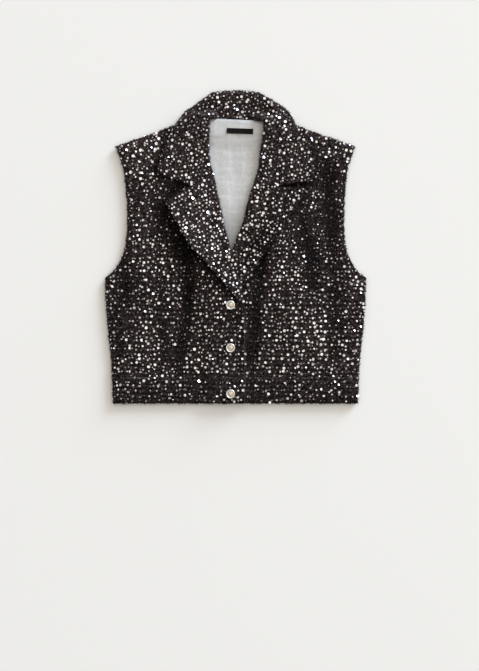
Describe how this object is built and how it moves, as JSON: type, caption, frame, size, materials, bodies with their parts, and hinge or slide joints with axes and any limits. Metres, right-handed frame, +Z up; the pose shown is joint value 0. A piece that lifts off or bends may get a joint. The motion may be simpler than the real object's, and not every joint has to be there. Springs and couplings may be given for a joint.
{
  "type": "gilet",
  "caption": "Cropped sleeveless tweed gilet with a notched lapel collar, a waistband and round metal buttons, fastened and laid flat on its back.",
  "frame": {"origin": "on the surface the garment lies on, at the middle of its width and of its length", "axes": "+Y from the hem towards the collar, +Z up out of the front of the garment, +X towards the wearer's left side"},
  "size_m": [0.4436, 0.532, 0.0308],
  "materials": {
    "tweed": "black boucle tweed with small silver sequins",
    "lining": "light grey satin",
    "label": "woven black satin",
    "button": "polished silver rim round a satin dome"
  },
  "bodies": {
    "root": {"back": "tweed", "back_lining": "lining", "neck_label": "label", "left_front": "tweed", "right_front": "tweed", "left_lapel": "tweed", "right_lapel": "tweed", "collar": "tweed", "waistband_back": "tweed", "waistband_left": "tweed", "waistband_right": "tweed", "button_1": "button", "button_2": "button", "button_3": "button"}
  },
  "joints": []
}
